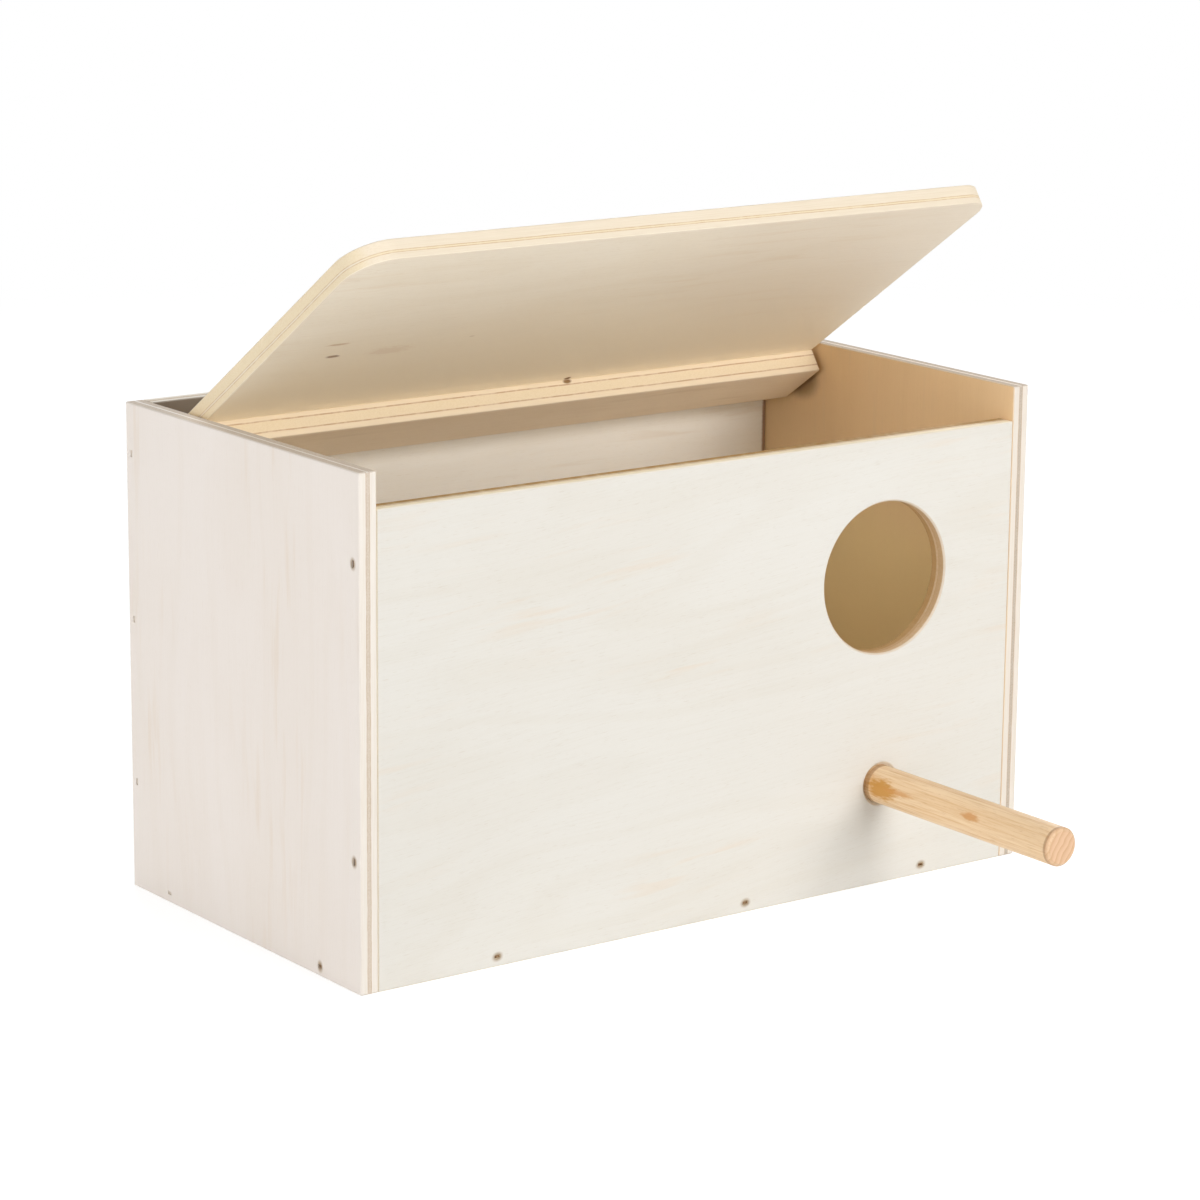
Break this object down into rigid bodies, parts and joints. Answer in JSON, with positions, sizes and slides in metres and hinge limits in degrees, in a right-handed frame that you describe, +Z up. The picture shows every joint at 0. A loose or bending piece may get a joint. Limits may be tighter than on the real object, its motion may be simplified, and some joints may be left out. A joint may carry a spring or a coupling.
{
  "type": "nest box",
  "caption": "Plywood nest box for small cage birds with a round entrance, a dowel perch and a lid that swings on wire pins.",
  "frame": {"origin": "middle of the box's footprint, on the surface it stands on; the perch and the lid's front edge stand out in front of that footprint", "axes": "+Z up, -Y towards the front with the entrance and the perch, +X to the right as one faces the front"},
  "size_m": [0.25, 0.2146, 0.216],
  "materials": {
    "left_side_plywood": "bare, fine sanded",
    "right_side_plywood": "bare, fine sanded",
    "front_plywood": "bare, fine sanded",
    "back_plywood": "bare, fine sanded",
    "floor_plywood": "bare, fine sanded",
    "perch_wood": "bare, turned smooth",
    "lid_plywood": "bare, fine sanded",
    "batten_plywood": "bare, sawn",
    "pin_steel": "plain drawn wire",
    "brad_steel": "plain drawn wire, dull"
  },
  "bodies": {
    "box": {"left_side_panel": "left_side_plywood", "right_side_panel": "right_side_plywood", "front_panel": "front_plywood", "back_panel": "back_plywood", "floor_panel": "floor_plywood", "perch_dowel": "perch_wood", "left_side_brads": "brad_steel", "right_side_brads": "brad_steel", "front_brads": "brad_steel", "back_brads": "brad_steel"},
    "lid": {"lid_board": "lid_plywood", "lid_batten": "batten_plywood", "left_hinge_pin": "pin_steel", "right_hinge_pin": "pin_steel", "lid_brads": "brad_steel"}
  },
  "joints": [
    {"name": "lid_hinge", "type": "hinge", "parent": "box", "child": "lid", "pos_m": [0, 0.04395, 0.1389], "axis": [-1, 0, 0], "range_deg": [-34.3, 72.6]}
  ]
}
